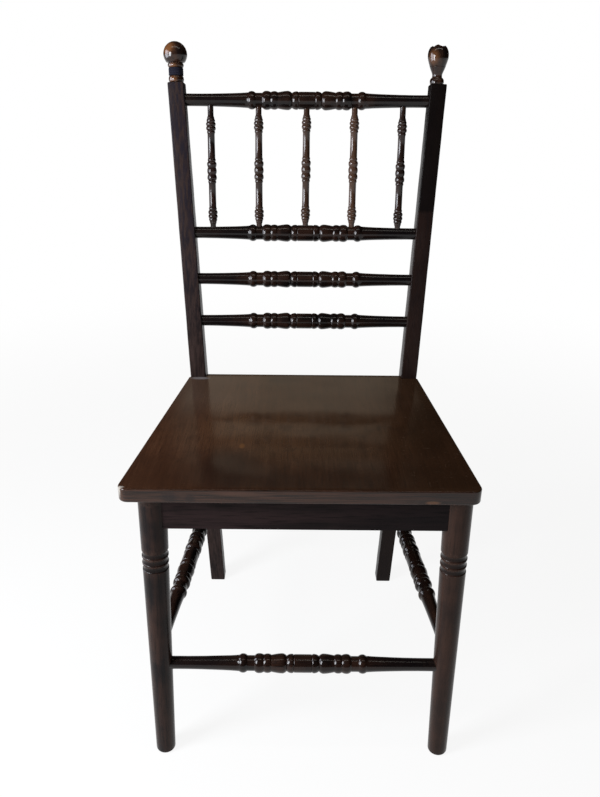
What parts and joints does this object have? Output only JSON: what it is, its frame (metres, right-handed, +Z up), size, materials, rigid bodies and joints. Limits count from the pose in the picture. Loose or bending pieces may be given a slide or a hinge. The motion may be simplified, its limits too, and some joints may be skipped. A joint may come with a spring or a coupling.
{
  "type": "worn spindle-back side chair",
  "caption": "Worn dark-stained side chair with a flat board seat, turned front legs and a spindle back.",
  "frame": {"origin": "middle of the chair's own box, on the floor", "axes": "+Z up, the chair faces -Y, +X to the right of someone in front of it"},
  "size_m": [0.4424, 0.463, 0.9519],
  "materials": {
    "seat_varnish": "worn glossy varnish over dark stain",
    "post_varnish": "satin varnish, scuffed",
    "leg_varnish": "satin varnish, worn to reddish brown",
    "turned_varnish": "glossy varnish over near-black stain",
    "spindle_varnish": "glossy varnish over near-black stain",
    "apron_varnish": "satin varnish, near black",
    "finial_varnish": "glossy varnish, worn through to brown",
    "wound_tape": "matt cloth tape",
    "bare_wood": "unfinished, aged",
    "screw_steel": "dull, aged"
  },
  "bodies": {
    "root": {"seat_board": "seat_varnish", "left_back_post": "post_varnish", "right_back_post": "post_varnish", "left_front_leg": "leg_varnish", "right_front_leg": "leg_varnish", "top_rail": "turned_varnish", "spindle_rail": "turned_varnish", "middle_rail": "turned_varnish", "lower_rail": "turned_varnish", "front_stretcher": "turned_varnish", "back_stretcher": "turned_varnish", "left_side_stretcher": "turned_varnish", "right_side_stretcher": "turned_varnish", "spindle_1": "spindle_varnish", "spindle_2": "spindle_varnish", "spindle_3": "spindle_varnish", "spindle_4": "spindle_varnish", "spindle_5": "spindle_varnish", "front_apron": "apron_varnish", "back_apron": "apron_varnish", "left_side_apron": "apron_varnish", "right_side_apron": "apron_varnish", "left_finial": "finial_varnish", "right_finial": "finial_varnish", "neck_tape": "wound_tape", "front_left_corner_block": "bare_wood", "front_right_corner_block": "bare_wood", "back_left_corner_block": "bare_wood", "back_right_corner_block": "bare_wood", "front_left_screw": "screw_steel", "front_right_screw": "screw_steel", "back_left_screw": "screw_steel", "back_right_screw": "screw_steel"}
  },
  "joints": []
}
